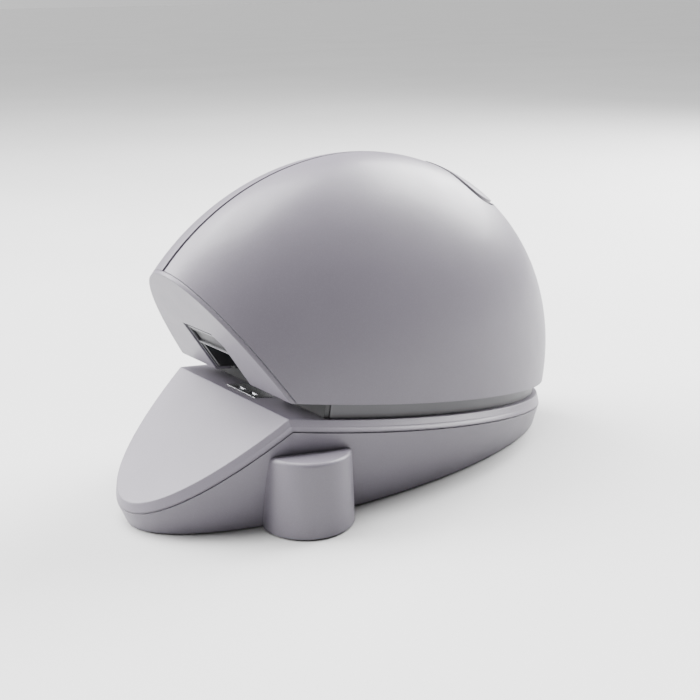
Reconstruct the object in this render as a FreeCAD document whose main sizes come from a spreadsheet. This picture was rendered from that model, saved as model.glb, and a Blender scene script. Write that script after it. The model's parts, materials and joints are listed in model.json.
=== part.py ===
"""Electric desk stapler with a domed head, a wedge-shaped base and a front-loading magazine.

World frame: +Z up, +Y to the rear, the paper goes in from -Y, origin on the table under the middle.
Head frame: everything above the deck is laid out parallel to the rear deck. Its origin is the middle
of the deck's crease, y runs rearwards along the deck and z stands square on the deck.
"""
import FreeCAD, Part
import math
import os
import re

from FreeCAD import Placement, Rotation, Vector

doc = FreeCAD.newDocument("electric_stapler")
sheet = doc.addObject("Spreadsheet::Sheet", "dims")

DIMENSIONS = [
    # outside form of the base, world frame
    ("foot_stand", 0.6, "shell edge above the table"),
    ("crease_y", -46.95, "crease between ramp and rear deck"),
    ("deck_crease_z", 35.8, "deck height at the crease"),
    ("seam_crease_z", 32.6, "seam height at the crease"),
    ("ramp_tilt", 33.14, "fall of the ramp to the nose, degrees"),
    ("deck_tilt", 10.81, "fall of the deck to the rear, degrees"),
    ("floor_half_length", 84.38, "lower outline"),
    ("floor_half_width", 33.6, "lower outline"),
    ("floor_middle_y", -0.5, "lower outline"),
    ("seam_half_length", 85.0, "outline at the seam"),
    ("seam_half_width", 41.5, "outline at the seam"),
    ("seam_middle_y", -2.0, "outline at the seam"),
    ("deck_half_length", 84.85, "outline of the deck's top"),
    ("deck_half_width", 38.9, "outline of the deck's top"),
    ("deck_middle_y", -1.9, "outline of the deck's top"),
    ("bump_x", 30.9, "side pillar centre"),
    ("bump_y", -39.76, "side pillar centre"),
    ("bump_foot_radius", 14.55, "side pillar at the table"),
    ("bump_top_radius", 13.75, "side pillar at its tallest"),
    ("bump_top_z", 24.4, "side pillar top at its centre"),
    ("bump_tilt", 3.0, "fall of the pillar's top to the rear, degrees"),
    ("bump_round", 1.3, "rounding of the pillar's rim"),
    ("wall", 2.0, "moulded wall thickness"),
    ("seam_gap", 0.3, "shadow gap between base and deck"),
    ("lip_height", 1.1, "locating lip above the seam"),
    ("lip_inset", 1.25, "locating lip, distance in from the outside"),
    ("post_x", 27.0, "rear screw posts"),
    ("post_y", 20.0, "rear screw posts"),
    ("front_post_x", 27.5, "front screw posts"),
    ("front_post_y", -16.0, "front screw posts"),
    ("post_radius", 3.4, "screw posts"),
    ("post_rib_end", 32.6, "ribs between the posts and the wall"),
    ("post_split", 12.0, "height where shell and deck posts meet"),
    ("plate_z", 1.2, "base plate underside"),
    ("plate_thick", 1.5, "base plate"),
    ("foot_radius", 5.0, "rubber foot"),
    ("jack_face_x", -33.4, "power inlet face"),
    ("jack_y", 38.0, "power inlet middle"),
    ("jack_z", 8.5, "power inlet middle"),
    ("jack_half", 4.5, "power inlet half width"),
    ("jack_bore", 2.8, "power inlet bore radius"),
    ("anvil_half", 8.7, "anvil plate half width"),
    # outside form of the head
    ("dome_half_width", 39.27, "dome ellipsoid"),
    ("dome_half_length", 87.16, "dome ellipsoid"),
    ("dome_half_height", 77.55, "dome ellipsoid"),
    ("dome_middle_y", -0.2, "dome ellipsoid centre"),
    ("dome_middle_z", 29.6, "dome ellipsoid centre"),
    ("mouth_gap", 4.86, "paper gap under the head"),
    ("facet_foot_y", 0.2, "lower edge of the front facet"),
    ("facet_lean", 42.8, "facet from the deck's normal, degrees"),
    ("bezel_lip", 1.3, "visible edge thickness of the front bezel"),
    ("bezel_depth", 4.5, "front bezel, whole depth"),
    ("bezel_gap", 0.12, "shadow line behind the bezel's lip"),
    ("shell_gap", 0.05, "half of the gap between the shells"),
    ("opening_half_width", 10.4, "magazine opening"),
    ("opening_height", 20.86, "magazine opening along the facet"),
    ("opening_chamfer", 3.5, "cut corner of the opening"),
    ("groove_front", 0.75, "half width of the crest groove in front"),
    ("groove_rear", 0.12, "half width of the crest groove at its end"),
    ("groove_depth", 0.9, "crest groove"),
    ("groove_end_y", 82.0, "crest groove end, head frame"),
    ("stop_y", 12.5, "paper stop"),
    ("stop_thick", 1.7, "paper stop, two pads with the trigger between them"),
    ("collar_inset", 2.0, "neck inside the deck's edge"),
    ("collar_wall", 2.2, "neck wall"),
    # release button on the crest
    ("button_y", 50.3, "button middle, world frame"),
    ("button_tilt", 32.1, "dome surface there, degrees"),
    ("button_well_radius", 14.5, "round end of the button's well"),
    ("button_well_tip", 19.0, "point of the well, from its round middle"),
    ("button_radius", 12.9, "round end of the button"),
    ("button_tip", 17.9, "point of the button, from its round middle"),
    ("button_thick", 2.4, "button wall"),
    ("button_hinge", 15.5, "hinge pin in front of the round middle"),
    ("button_hinge_depth", 6.0, "hinge pin under the surface"),
    # floor and frame of the head, head frame
    ("head_post_x", 31.5, "front head posts"),
    ("head_post_y", 22.0, "front head posts"),
    ("rear_post_x", 29.0, "rear head posts"),
    ("rear_post_y", 82.0, "rear head posts"),
    ("head_post_radius", 3.6, "head posts"),
    ("head_post_top", 16.0, "head posts"),
    ("floor_top", 6.4, "head floor plate"),
    ("floor_thick", 1.5, "head floor plate"),
    ("frame_x", 10.4, "inner face of the side frames"),
    ("sheet_thick", 1.2, "side frame sheet"),
    ("frame_front", 5.9, "side frames"),
    ("frame_rear", 92.0, "side frames"),
    ("frame_top", 36.9, "side frames"),
    ("tower_front", 44.0, "raised part of the left frame"),
    ("tower_rear", 88.0, "raised part of the left frame"),
    ("tower_top", 64.5, "raised part of the left frame"),
    # magazine
    ("mag_bottom", 6.5, "channel underside"),
    ("mag_top", 14.0, "channel top"),
    ("mag_front", 4.8, "channel front wall"),
    ("mag_rear", 78.0, "channel rear wall"),
    ("mag_half", 7.5, "channel half width"),
    ("mag_sheet", 0.8, "channel sheet"),
    ("nose_half", 10.1, "magazine nose"),
    ("nose_recess", 0.8, "nose behind the facet"),
    ("nose_thick", 1.8, "nose plate"),
    ("nose_top", 19.9, "nose plate, head frame"),
    ("crown", 12.9, "staple width"),
    ("wire", 0.5, "staple wire"),
    ("staple_pitch", 0.6, "staples in the strip"),
    ("strip_count", 40, "staples in the strip"),
    ("rail_half", 5.6, "inner rail half width"),
    ("rod_radius", 0.75, "spring guide rod"),
    ("rod_z", 9.7, "spring guide rod"),
    ("pusher_front", 31.2, "pusher at rest"),
    ("pusher_long", 8.0, "pusher"),
    # driver, lever and gear train
    ("blade_y", 5.75, "front face of the blade"),
    ("blade_thick", 0.55, "driver blade"),
    ("blade_half", 6.3, "driver blade half width"),
    ("blade_bottom", 14.3, "blade edge at rest"),
    ("driver_stroke", 13.3, "driver travel"),
    ("tip_y", 16.0, "lever tip pin"),
    ("pivot_y", 62.0, "lever pivot"),
    ("crank_y", 37.5, "crank axis"),
    ("axis_z", 33.9, "crank axis and lever pivot"),
    ("lever_half", 5.0, "lever half height"),
    ("lever_thick", 4.0, "lever"),
    ("tip_pin", 1.5, "tip pin radius"),
    ("pivot_pin", 2.0, "lever pivot pin radius"),
    ("crank_pin_radius", 1.6, "crank pin"),
    ("axle", 1.5, "gear axle radius"),
    ("running", 0.04, "running clearance on a radius"),
    ("coarse_module", 0.8, "crank gear and idler pinion"),
    ("fine_module", 0.6, "idler wheel and motor pinion"),
    ("crank_teeth", 40, "crank gear"),
    ("idler_pinion_teeth", 12, "idler"),
    ("idler_wheel_teeth", 50, "idler"),
    ("motor_teeth", 10, "motor pinion"),
    ("idler_bearing", 20.0, "idler seen from the crank, degrees"),
    ("motor_bearing", 30.0, "motor seen from the idler, degrees"),
    ("gear_face", 4.0, "coarse gear face width"),
    ("motor_radius", 12.0, "motor can"),
    ("motor_long", 28.0, "motor can"),
    # paper trigger
    ("flag_x", 14.5, "middle of the paper trigger"),
    ("flag_y", 15.0, "trigger pivot"),
    ("flag_z", 11.0, "trigger pivot"),
    ("flag_reach", 10.1, "trigger arm below its pivot"),
    # release link
    ("link_y", 88.0, "release link"),
    ("link_radius", 2.0, "release link"),
    ("link_top", 67.0, "release link"),
]

for row, (alias, number, meaning) in enumerate(DIMENSIONS, start=1):
    sheet.set(f"A{row}", meaning)
    sheet.set(f"B{row}", str(number))
    sheet.setAlias(f"B{row}", alias)
doc.recompute()

ALIASES = {alias for alias, number, meaning in DIMENSIONS}
NODES = []


def size(alias):
    """A driving dimension as a plain number."""
    return float(getattr(sheet, alias))


def bound(text):
    """An expression in which every dimension's name points at the sheet."""
    return re.sub(r"[a-z_]+", lambda m: "dims." + m.group() if m.group() in ALIASES else m.group(), str(text))


def bind(thing, **sizes):
    for prop, text in sizes.items():
        thing.setExpression(prop, bound(text))
    return thing


def place(thing, x=0, y=0, z=0):
    for axis, text in zip("xyz", (x, y, z)):
        thing.setExpression("Placement.Base." + axis, bound(text))
    return thing


def box(name, x, y, z):
    """A block between a low and a high expression on each axis."""
    block = doc.addObject("Part::Box", name)
    bind(block, Length=f"({x[1]})-({x[0]})", Width=f"({y[1]})-({y[0]})", Height=f"({z[1]})-({z[0]})")
    return place(block, x[0], y[0], z[0])


TURNS = {
    "x": Rotation(Vector(0, 1, 0), 90),
    "y": Rotation(Vector(1, 0, 0), -90),
    "z": Rotation(),
}


def rod(name, along, radius, start, length):
    """A cylinder that starts at a point and runs along +X, +Y or +Z."""
    cylinder = doc.addObject("Part::Cylinder", name)
    cylinder.Placement = Placement(Vector(), TURNS[along])
    bind(cylinder, Radius=radius, Height=length)
    return place(cylinder, *start)


def fuse(name, *pieces):
    joined = doc.addObject("Part::MultiFuse", name)
    joined.Shapes = list(pieces)
    return joined


def cut(name, base, *tools):
    result = doc.addObject("Part::Cut", name)
    result.Base = base
    result.Tool = tools[0] if len(tools) == 1 else fuse(name + "_tool", *tools)
    return result


def common(name, *pieces):
    result = doc.addObject("Part::MultiCommon", name)
    result.Shapes = list(pieces)
    return result


def group(name, *pieces):
    """Identical loose pieces that share one node."""
    together = doc.addObject("Part::Compound", name)
    together.Links = list(pieces)
    return together


def feature(name, shape):
    thing = doc.addObject("Part::Feature", name)
    thing.Shape = shape
    return thing


def node(label, thing, placement=None):
    """Give a finished piece its name and its place in the world frame."""
    if thing.TypeId in ("Part::Box", "Part::Cylinder", "Part::Feature") and placement is not None:
        thing.Label = label + "_stock"
        thing = group(label + "_piece", thing)
    thing.Label = label
    if placement is not None:
        thing.Placement = placement
    NODES.append(thing)


HEAD = Placement(Vector(0, size("crease_y"), size("deck_crease_z")), Rotation(Vector(1, 0, 0), -size("deck_tilt")))
FACET = Placement(Vector(0, size("facet_foot_y"), size("mouth_gap")), Rotation(Vector(1, 0, 0), size("facet_lean")))
SIDES = ((1, "left"), (-1, "right"))


# ---------------------------------------------------------------- base

ARC_STEPS = 12


def tent_curve(half_length, half_width, middle_y, crease_z, front_rise, rear_fall):
    """The two arcs of an elliptic outline that climbs to the crease and falls behind it.

    Every arc has the same number of evenly numbered knots, so that a surface ruled between two of
    them has no sliver spans."""
    arcs = []
    split = math.acos((size("crease_y") - middle_y) / half_length)
    for slope, start, end in ((front_rise, split, 2 * math.pi - split), (-rear_fall, -split, split)):
        step = (end - start) / ARC_STEPS
        turns = [start + step * number for number in range(ARC_STEPS + 1)]
        plan = [(half_width * math.sin(t), middle_y + half_length * math.cos(t)) for t in turns]
        points = [Vector(x, y, crease_z + slope * (y - size("crease_y"))) for x, y in plan]
        ends = [Vector(half_width * math.cos(t), -half_length * math.sin(t), -slope * half_length * math.sin(t)) * step
                for t in (start, end)]
        curve = Part.BSplineCurve()
        curve.interpolate(Points=points, Parameters=[float(n) for n in range(ARC_STEPS + 1)],
                          InitialTangent=ends[0], FinalTangent=ends[1], Scale=False)
        arcs.append(curve.toShape())
    return arcs


def tent(lower, upper):
    """A closed solid between a lower and an upper pair of arcs."""
    faces = [Part.makeRuledSurface(low, high) for low, high in zip(lower, upper)]
    for arcs in (lower, upper):
        for arc in arcs:
            chord = Part.makeLine(arc.Vertexes[-1].Point, arc.Vertexes[0].Point)
            faces.append(Part.Face(Part.Wire([arc, chord])))
    shell = Part.makeShell(faces)
    shell.sewShape()
    solid = Part.makeSolid(shell)
    if solid.Volume < 0:
        solid.reverse()
    return solid


RISE = math.tan(math.radians(size("ramp_tilt")))
FALL = math.tan(math.radians(size("deck_tilt")))


def floor_curve(inset=0.0, z=None):
    height = size("foot_stand") if z is None else z
    return tent_curve(size("floor_half_length") - inset, size("floor_half_width") - inset,
                      size("floor_middle_y"), height, 0.0, 0.0)


def seam_curve(inset=0.0, lift=0.0):
    return tent_curve(size("seam_half_length") - inset, size("seam_half_width") - inset,
                      size("seam_middle_y"), size("seam_crease_z") + lift, RISE, FALL)


def deck_curve(inset=0.0, lift=0.0):
    return tent_curve(size("deck_half_length") - inset, size("deck_half_width") - inset,
                      size("deck_middle_y"), size("deck_crease_z") + lift, RISE, FALL)


def pillar_stump(name, side, inset):
    """One of the two round pillars beside the crease, with its top falling a little to the rear."""
    cone = doc.addObject("Part::Cone", name + "_cone")
    cone.Placement = Placement(Vector(), Rotation(Vector(0, 0, 1), 90 + 90 * side))
    bind(cone, Radius1=f"bump_foot_radius-{inset}", Radius2=f"bump_top_radius-{inset}", Height="bump_top_z+10")
    place(cone, f"{side}*bump_x", "bump_y", "foot_stand")
    above = doc.addObject("Part::Box", name + "_above")
    bind(above, Length=60, Width=60, Height=40)
    tilt = Rotation(Vector(1, 0, 0), -size("bump_tilt"))
    top = Vector(side * size("bump_x"), size("bump_y"), size("bump_top_z") - inset)
    above.Placement = Placement(top + tilt.multVec(Vector(-30, -30, 0)), tilt)
    return cut(name, cone, above)


def rounded_rim(name, stump, radius):
    """The same stump with its upper rim rounded."""
    doc.recompute()
    top = max(stump.Shape.Faces, key=lambda face: face.CenterOfMass.z)
    rim = [i + 1 for i, edge in enumerate(stump.Shape.Edges) if any(edge.isSame(e) for e in top.Edges)]
    rounded = doc.addObject("Part::Fillet", name)
    rounded.Base = stump
    rounded.Edges = [(i, radius, radius) for i in rim]
    return rounded



def posts():
    """Where the base screws stand, as expressions."""
    return [(f"{side}*{x}", y) for side in (1, -1) for x, y in (("post_x", "post_y"), ("front_post_x", "front_post_y"))]


def head_posts():
    return [(f"{side}*{x}", y) for side in (1, -1)
            for x, y in (("head_post_x", "head_post_y"), ("rear_post_x", "rear_post_y"))]


def in_head(thing):
    """Carry a piece laid out in the head frame into the world frame."""
    carried = group(thing.Name + "_in_head", thing)
    carried.Placement = HEAD
    return carried


def make_base_shell():
    thick = size("wall") + 0.6
    outside = feature("base_outside", tent(floor_curve(), seam_curve(lift=-size("seam_gap"))))
    hollow = feature("base_hollow", tent(floor_curve(thick, -3.0), seam_curve(thick, 4.0)))
    shell = cut("base_wall", outside, hollow)
    for side, word in SIDES:
        pillar = rounded_rim(f"{word}_pillar", pillar_stump(f"{word}_stump", side, 0), size("bump_round"))
        hollow_again = feature(f"{word}_hollow", hollow.Shape)
        outer_part = cut(f"{word}_pillar_part", pillar, hollow_again)
        cavity = pillar_stump(f"{word}_cavity", side, size("wall"))
        shell = cut(f"base_wall_{word}", fuse(f"{word}_joined", shell, outer_part), cavity)
    lip_foot = seam_curve(size("lip_inset"), -2.5)
    lip = feature("lip_body", tent(lip_foot, seam_curve(size("lip_inset"), size("lip_height"))))
    lip_hole = feature("lip_hole", tent(seam_curve(thick, -6.0), seam_curve(thick, 6.0)))
    lip_ring = cut("lip_ring", lip, lip_hole)
    sleeves = [rod(f"shell_post_{i}", "z", "post_radius", (x, y, "plate_z+plate_thick"),
                   "post_split-plate_z-plate_thick") for i, (x, y) in enumerate(posts())]
    ribs = [box(f"shell_rib_{i}", ("-post_rib_end", x) if x.startswith("-") else (x, "post_rib_end"),
                (f"{y}-1", f"{y}+1"), ("plate_z+plate_thick", "post_split")) for i, (x, y) in enumerate(posts())]
    drills = [rod(f"shell_drill_{i}", "z", 1.7, (x, y, 0), 30) for i, (x, y) in enumerate(posts())]
    jack = box("jack_cutout", (-45, "jack_face_x+6"), ("jack_y-jack_half-0.1", "jack_y+jack_half+0.1"),
               ("jack_z-jack_half-0.1", "jack_z+jack_half+0.1"))
    joined = fuse("base_with_posts", shell, lip_ring, *sleeves, *ribs)
    node("base_shell", cut("base_shell", joined, jack, *drills))


def make_deck_cover():
    outside = feature("deck_outside", tent(seam_curve(), deck_curve()))
    thick = size("wall") + 0.9
    hollow = feature("deck_hollow", tent(seam_curve(thick, -3.0), deck_curve(thick, -size("wall"))))
    slack = size("lip_inset") - 0.15
    rebate = feature("deck_rebate", tent(seam_curve(slack, -3.0), seam_curve(slack, size("lip_height") + 0.15)))
    skin = cut("deck_skin", outside, hollow, rebate)
    top = "deck_crease_z-1-({})".format("({}-crease_y)*tan(deck_tilt)")
    sleeves = [rod(f"deck_post_{i}", "z", "post_radius", (x, y, "post_split+0.1"),
                   top.format(y) + "-post_split-0.1") for i, (x, y) in enumerate(posts())]
    bites = [rod(f"deck_bite_{i}", "z", 1.25, (x, y, 0), 16) for i, (x, y) in enumerate(posts())]
    pocket = in_head(box("anvil_pocket", ("-anvil_half-0.1", "anvil_half+0.1"), (3.6, 11.6), (-0.65, 5)))
    holes = [in_head(rod(f"deck_hole_{i}", "z", 1.7, (x, y, -8), 20)) for i, (x, y) in enumerate(head_posts())]
    wires = in_head(rod("deck_wire_hole", "z", 4, (-20, 60, -8), 20))
    node("deck_cover", cut("deck_cover", fuse("deck_with_posts", skin, *sleeves), pocket, wires, *holes, *bites))


def make_base_hardware():
    plate = feature("plate_blank", tent(floor_curve(3.2, size("plate_z")),
                                        floor_curve(3.2, size("plate_z") + size("plate_thick"))))
    holes = [rod(f"plate_hole_{i}", "z", 1.7, (x, y, 0), 5) for i, (x, y) in enumerate(posts())]
    node("base_plate", cut("base_plate", plate, *holes))
    feet = [rod(f"foot_{i}", "z", "foot_radius", (x, y, 0), "plate_z")
            for i, (x, y) in enumerate([(15, -56), (-15, -56), (18, 52), (-18, 52)])]
    node("rubber_feet", group("rubber_feet", *feet))
    screws = []
    for i, (x, y) in enumerate(posts()):
        head = rod(f"base_screw_head_{i}", "z", 2.4, (x, y, 0.3), 0.9)
        shank = rod(f"base_screw_shank_{i}", "z", 1.2, (x, y, 1.0), 14.0)
        screws.append(fuse(f"base_screw_{i}", head, shank))
    node("base_screws", group("base_screws", *screws))
    block = box("jack_block", ("jack_face_x", "jack_face_x+13"), ("jack_y-jack_half", "jack_y+jack_half"),
                ("jack_z-jack_half", "jack_z+jack_half"))
    bore = rod("jack_hole", "x", "jack_bore", ("jack_face_x-1", "jack_y", "jack_z"), 10)
    pin = rod("jack_pin", "x", 1.0, ("jack_face_x+1", "jack_y", "jack_z"), 8.5)
    node("power_inlet", fuse("power_inlet", cut("jack_body", block, bore), pin))


def make_anvil():
    plate = box("anvil_blank", ("-anvil_half", "anvil_half"), (3.7, 11.5), (-0.6, 0.1))
    grooves = [rod(f"clinch_{word}", "y", 4.0, (f"{side}*3.7", 5.4, 3.6), 1.4) for side, word in SIDES]
    node("anvil_plate", cut("anvil_plate", plate, *grooves), HEAD)


def oval(name, inset, low, high):
    """A block with the deck's elliptic outline, inset by a margin."""
    half_y = size("deck_half_length") / math.cos(math.radians(size("deck_tilt"))) - inset
    half_x = size("deck_half_width") - inset
    middle = Vector(0, (size("deck_middle_y") - size("crease_y")) / math.cos(math.radians(size("deck_tilt"))), low)
    outline = Part.Ellipse(middle + Vector(0, half_y, 0), middle + Vector(half_x, 0, 0), middle).toShape()
    return feature(name, Part.Face(Part.Wire([outline])).extrude(Vector(0, 0, high - low)))


def make_neck():
    gap = size("mouth_gap")
    outer = oval("neck_outer", size("collar_inset"), 0.0, gap)
    inner = oval("neck_inner", size("collar_inset") + size("collar_wall"), -1.0, gap + 1)
    front = box("neck_front", (-60, 60), (-60, "stop_y+stop_thick+0.02"), (-2, 10))
    behind = box("neck_behind", (-60, 60), ("stop_y+stop_thick+collar_wall", 160), (-2, 10))
    ring = cut("neck_ring", outer, common("neck_room", inner, behind), front)
    bosses = [rod(f"neck_boss_{i}", "z", "head_post_radius", (x, y, 0), "mouth_gap")
              for i, (x, y) in enumerate(head_posts())]
    holes = [rod(f"neck_hole_{i}", "z", 1.7, (x, y, -1), 10) for i, (x, y) in enumerate(head_posts())]
    notch = box("flag_notch", ("flag_x-2.2", "flag_x+2.2"), ("stop_y-1", "stop_y+stop_thick+collar_wall+1"), (-1, 10))
    node("neck_collar", cut("neck_collar", fuse("neck_with_bosses", ring, *bosses), notch, *holes), HEAD)
    stop = common("stop_solid", oval("stop_outline", size("collar_inset") + 0.35, 0.05, gap - 0.05),
                  box("stop_slab", (-60, 60), ("stop_y", "stop_y+stop_thick"), (-2, 10)))
    slot = box("stop_slot", ("flag_x-2.2", "flag_x+2.2"), ("stop_y-1", "stop_y+stop_thick+1"), (-1, 10))
    node("paper_stop", cut("paper_stop", stop, slot), HEAD)


# ---------------------------------------------------------------- domed head

def dome(name, inset=0.0):
    """The head's ellipsoid, or the same with its half axes made shorter, laid out in the head frame."""
    ball = doc.addObject("Part::Ellipsoid", name)
    bind(ball, Radius1=f"dome_half_height-({inset})", Radius2=f"dome_half_width-({inset})",
         Radius3=f"dome_half_length-({inset})")
    ball.Placement = HEAD.inverse().multiply(Placement(Vector(0, size("dome_middle_y"), size("dome_middle_z")),
                                                       Rotation()))
    return ball


def facet_box(name, x, depth, height):
    """A block laid out on the front facet: x, depth behind it, height along it."""
    block = doc.addObject("Part::Box", name)
    spans = (x, depth, height)
    for prop, (low, high) in zip(("Length", "Width", "Height"), spans):
        block.setExpression(prop, bound(f"({high})-({low})"))
    corner = Vector(*[sheet_value(low) for low, high in spans])
    block.Placement = FACET.multiply(Placement(corner, Rotation()))
    return block


def sheet_value(text):
    """The number that an expression over the sheet stands for."""
    return float(sheet.evalExpression(re.sub(r"[a-z_]+", lambda m: f"{size(m.group())}" if m.group() in ALIASES
                                             else m.group(), str(text))))


def opening_tool(name):
    """The magazine opening with its one cut corner, through the bezel."""
    half, tall, corner = size("opening_half_width"), size("opening_height"), size("opening_chamfer")
    outline = [(-half, -12), (half, -12), (half, tall - 1.25 * corner), (half - corner, tall), (-half, tall)]
    points = [Vector(x, -2, z) for x, z in outline]
    face = Part.Face(Part.makePolygon(points + points[:1]))
    tool = feature(name, face.extrude(Vector(0, 12, 0)))
    tool.Placement = FACET
    return tool


def teardrop(name, radius, tip, low, high):
    """A drop-shaped block square to the dome at the button, pointed towards the front."""
    turn = math.acos(radius / tip)
    side = Vector(radius * math.sin(turn), -radius * math.cos(turn), low)
    other = Vector(-side.x, side.y, low)
    point, back = Vector(0, -tip, low), Vector(0, radius, low)
    edges = [Part.makeLine(point, side), Part.Arc(side, back, other).toShape(), Part.makeLine(other, point)]
    drop = feature(name, Part.Face(Part.Wire(edges)).extrude(Vector(0, 0, high - low)))
    drop.Placement = BUTTON
    return drop


def button_frame():
    rise = 1 - ((size("button_y") - size("dome_middle_y")) / size("dome_half_length")) ** 2
    surface_z = size("dome_middle_z") + size("dome_half_height") * math.sqrt(rise)
    on_dome = Placement(Vector(0, size("button_y"), surface_z), Rotation(Vector(1, 0, 0), -size("button_tilt")))
    return HEAD.inverse().multiply(on_dome)


BUTTON = button_frame()


def groove_tool(name):
    """The crest groove: wide at the facet, running out towards the rear."""
    wedge = doc.addObject("Part::Wedge", name + "_wedge")
    bind(wedge, Xmin="-groove_front", Xmax="groove_front", Ymin=-45, Ymax="groove_end_y", Zmin=5, Zmax=110)
    bind(wedge, X2min="-groove_rear", X2max="groove_rear", Z2min=5, Z2max=110)
    return cut(name, wedge, dome(name + "_core", "groove_depth"))


def make_head_shells():
    for side, word in SIDES:
        half = box(f"{word}_half", *((("shell_gap", 60),) if side > 0 else ((-60, "-shell_gap"),)),
                   (-80, 160), ("mouth_gap", 120))
        solid = common(f"{word}_solid", dome(f"{word}_dome"), half)
        before = facet_box(f"{word}_before", (-60, 60), (-60, "bezel_lip+bezel_gap"), (-60, 120))
        skin = cut(f"{word}_skin", solid, dome(f"{word}_core", "wall"), before)
        bosses = []
        for i, (x, y) in enumerate(head_posts()):
            if x.startswith("-") == (side < 0):
                post = rod(f"{word}_boss_{i}", "z", "head_post_radius", (x, y, "mouth_gap"), "head_post_top-mouth_gap")
                outward = (x, f"{x}+10") if side > 0 else (f"{x}-10", x)
                rib = box(f"{word}_rib_{i}", outward, (f"{y}-1.5", f"{y}+1.5"), ("mouth_gap", "head_post_top"))
                boss = fuse(f"{word}_ribbed_{i}", post, rib)
                bosses.append(common(f"{word}_boss_in_{i}", boss, dome(f"{word}_boss_dome_{i}", 0.6)))
        bites = [rod(f"{word}_bite_{i}", "z", 1.25, (x, y, "mouth_gap-1"), 11)
                 for i, (x, y) in enumerate(head_posts())]
        well = teardrop(f"{word}_well", size("button_well_radius"), size("button_well_tip"), -12, 12)
        joined = cut(f"{word}_with_well", fuse(f"{word}_with_bosses", skin, *bosses), well)
        ear_x = (3.4, 5.4) if side > 0 else (-5.4, -3.4)
        ear = box(f"{word}_ear", ear_x, (-24, "-button_hinge+1.6"), ("-button_hinge_depth-1.6", -4.4))
        ear_hole = rod(f"{word}_ear_hole", "x", 1.0, (-8, "-button_hinge", "-button_hinge_depth"), 16)
        bracket = group(f"{word}_bracket", cut(f"{word}_drilled_ear", ear, ear_hole))
        bracket.Placement = BUTTON
        inside = common(f"{word}_bracket_inside", bracket, dome(f"{word}_bracket_dome", 0.6))
        whole = fuse(f"{word}_with_bracket", joined, inside)
        node(f"{word}_shell", cut(f"{word}_shell", whole, groove_tool(f"{word}_groove"), *bites), HEAD)


def make_bezel():
    above = box("bezel_above", (-60, 60), (-80, 160), ("mouth_gap", 120))
    lip = common("bezel_lip", dome("bezel_dome"), above,
                 facet_box("bezel_slab", (-60, 60), (0, "bezel_lip"), (-20, 120)))
    above_plug = box("plug_above", (-60, 60), (-80, 160), ("mouth_gap", 120))
    plug = common("bezel_plug", dome("plug_dome", "wall+0.2"), above_plug,
                  facet_box("plug_slab", (-60, 60), (0.5, "bezel_depth"), (-20, 120)))
    hollow = facet_box("plug_hollow", (-24, 24), ("wall", 20), ("opening_height+3", 29))
    node("front_bezel", cut("front_bezel", fuse("bezel_solid", lip, plug), opening_tool("bezel_opening"), hollow), HEAD)


def make_head_floor():
    slab = common("floor_slab", dome("floor_dome", "wall+0.3"),
                  box("floor_room", (-60, 60), (7.4, 160), ("floor_top-floor_thick", "floor_top")))
    exit_slot = box("exit_slot", ("-opening_half_width", "opening_half_width"), (0, 15), (0, 10))
    flag_slot = box("flag_slot", ("flag_x-2.2", "flag_x+2.2"), (0, 22), (0, 10))
    reliefs = [rod(f"floor_relief_{i}", "z", "head_post_radius+0.3", (x, y, 0), 20)
               for i, (x, y) in enumerate(head_posts())]
    reliefs += [box(f"rib_relief_{i}", (f"{x}-12", x) if x.startswith("-") else (x, f"{x}+12"),
                    (f"{y}-1.8", f"{y}+1.8"), (0, 20)) for i, (x, y) in enumerate(head_posts())]
    wires = rod("floor_wire_hole", "z", 4, (-20, 60, 0), 20)
    node("head_floor", cut("head_floor", slab, exit_slot, flag_slot, wires, *reliefs), HEAD)
    screws = []
    for i, (x, y) in enumerate(head_posts()):
        head = rod(f"head_screw_head_{i}", "z", 2.6, (x, y, -3.9), 1.8)
        shank = rod(f"head_screw_shank_{i}", "z", 1.2, (x, y, -2.5), 15.0)
        screws.append(fuse(f"head_screw_{i}", head, shank))
    node("head_screws", group("head_screws", *screws), HEAD)


def make_button():
    drop = teardrop("button_drop", size("button_radius"), size("button_tip"), -12, 12)
    cap = cut("button_cap", common("button_top", drop, dome("button_dome", -0.35)),
              dome("button_under", "button_thick"))
    boss = rod("button_boss", "z", 2.6, (0, "link_y", "link_top+0.15"), 4.4)
    arm = box("button_arm", (-1.9, 1.9), ("-button_hinge-1.6", "-button_hinge+1.6"), ("-button_hinge_depth-1.6", -2.2))
    eye = rod("button_eye", "x", 1.04, (-4, "-button_hinge", "-button_hinge_depth"), 8)
    lug = group("button_lug_placed", cut("button_lug", arm, eye))
    lug.Placement = BUTTON
    node("release_button", fuse("release_button", cap, boss, lug), HEAD)
    pin = rod("button_pin_bar", "x", 1.0, (-5.0, "-button_hinge", "-button_hinge_depth"), 10)
    node("button_hinge_pin", pin, HEAD.multiply(BUTTON))


# ---------------------------------------------------------------- frame of the head

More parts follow.
